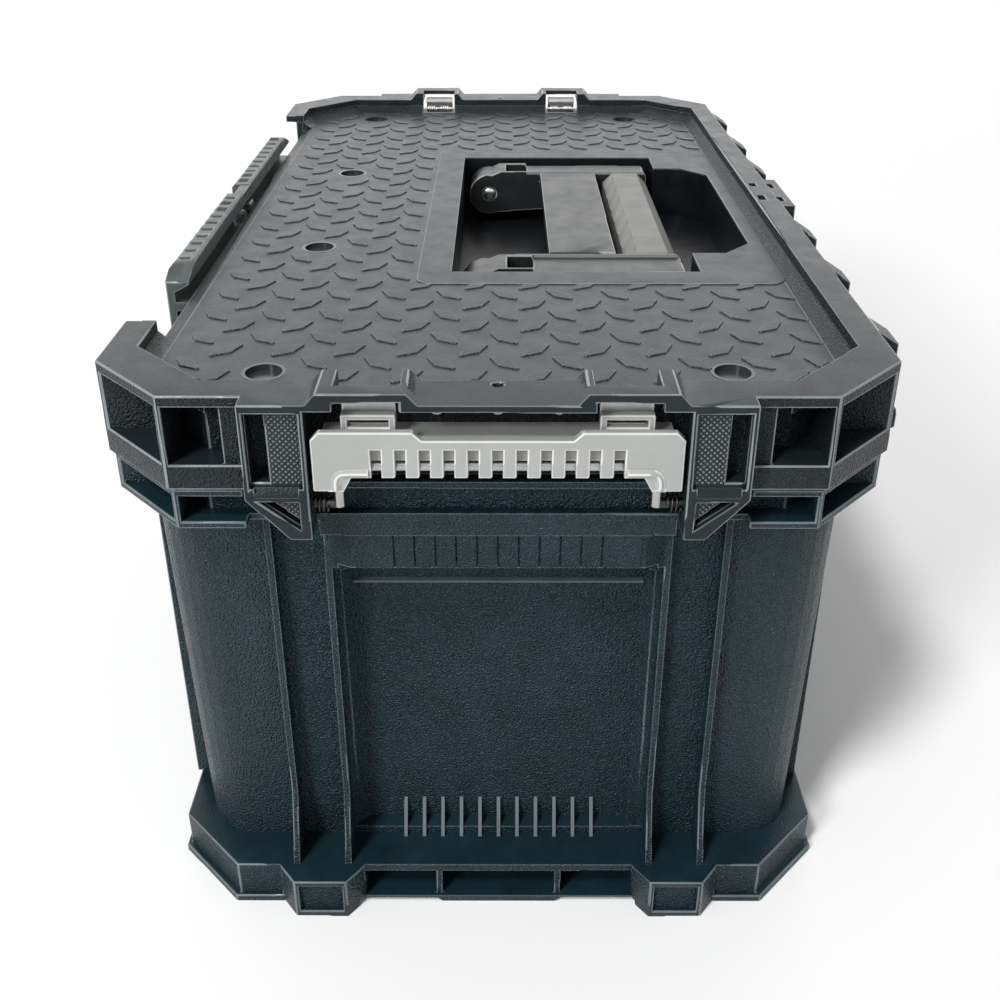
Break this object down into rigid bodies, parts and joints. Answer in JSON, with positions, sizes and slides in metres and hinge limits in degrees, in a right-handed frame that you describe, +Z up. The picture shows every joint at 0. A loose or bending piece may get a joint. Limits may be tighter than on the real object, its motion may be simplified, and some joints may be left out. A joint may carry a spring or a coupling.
{
  "type": "tool box",
  "caption": "Rectangular stackable tool box: ribbed tub, hinged lid with a treaded deck, fold-down lid handle, long front latch and sprung release levers at the ends.",
  "frame": {"origin": "on the ground under the middle of the outline", "axes": "+X along the box, -Y the front with the latch, +Y the rear with the hinge, +Z up"},
  "size_m": [0.577, 0.3358, 0.2867],
  "materials": {
    "black_plastic": "fine leather grain",
    "deck_plastic": "fine spark grain",
    "grey_plastic": "satin",
    "grip_rubber": "ribbed, soft touch",
    "seal_rubber": "matt",
    "bright_steel": "bright zinc plated",
    "dark_steel": "black oxide"
  },
  "bodies": {
    "base": {"base_tub": "black_plastic", "latch_pin": "bright_steel", "hinge_pin_left": "bright_steel", "hinge_pin_right": "bright_steel"},
    "lid": {"lid_shell": "deck_plastic", "lid_deck": "deck_plastic", "handle_well": "deck_plastic", "lid_inner_panel_left": "black_plastic", "lid_inner_panel_right": "black_plastic", "lid_inner_panel_front": "black_plastic", "lid_seal": "seal_rubber", "padlock_eye": "black_plastic", "deck_screw_1": "dark_steel", "deck_screw_2": "dark_steel", "deck_screw_3": "dark_steel", "deck_screw_4": "dark_steel", "deck_screw_5": "dark_steel", "deck_screw_6": "dark_steel", "handle_pin_left": "bright_steel", "handle_pin_right": "bright_steel", "rim_screw_left_1": "bright_steel", "rim_screw_left_2": "bright_steel", "rim_screw_left_3": "bright_steel", "rim_screw_right_1": "bright_steel", "rim_screw_right_2": "bright_steel", "rim_screw_right_3": "bright_steel", "lever_spring_left_front": "dark_steel", "lever_spring_left_rear": "dark_steel", "lever_spring_right_front": "dark_steel", "lever_spring_right_rear": "dark_steel"},
    "lid_handle": {"handle_frame": "black_plastic", "handle_grip": "grip_rubber"},
    "front_latch": {"front_latch": "black_plastic"},
    "lever_left": {"end_lever_left": "grey_plastic", "lever_rod_left": "bright_steel", "lock_tab_left_front": "bright_steel", "lock_tab_left_rear": "bright_steel"},
    "lever_right": {"end_lever_right": "grey_plastic", "lever_rod_right": "bright_steel", "lock_tab_right_front": "bright_steel", "lock_tab_right_rear": "bright_steel"}
  },
  "joints": [
    {"name": "lid_hinge", "type": "hinge", "parent": "base", "child": "lid", "pos_m": [0, 0.16165, 0.247], "axis": [-1, 0, 0], "range_deg": [0, 105]},
    {"name": "handle_fold", "type": "hinge", "parent": "lid", "child": "lid_handle", "pos_m": [0, -0.01185, 0.2555], "axis": [1, 0, 0], "range_deg": [0, 90]},
    {"name": "latch_swing", "type": "hinge", "parent": "base", "child": "front_latch", "pos_m": [0, -0.16135, 0.212], "axis": [1, 0, 0], "range_deg": [0, 100]},
    {"name": "lever_right_pull", "type": "hinge", "parent": "lid", "child": "lever_right", "pos_m": [0.28, -0.00485, 0.235], "axis": [0, 1, 0], "range_deg": [0, 12], "stiffness_Nm_per_rad": 0.6, "springref_deg": -8.59},
    {"name": "lever_left_pull", "type": "hinge", "parent": "lid", "child": "lever_left", "pos_m": [-0.28, -0.00485, 0.235], "axis": [0, -1, 0], "range_deg": [0, 12], "stiffness_Nm_per_rad": 0.6, "springref_deg": -8.59}
  ]
}
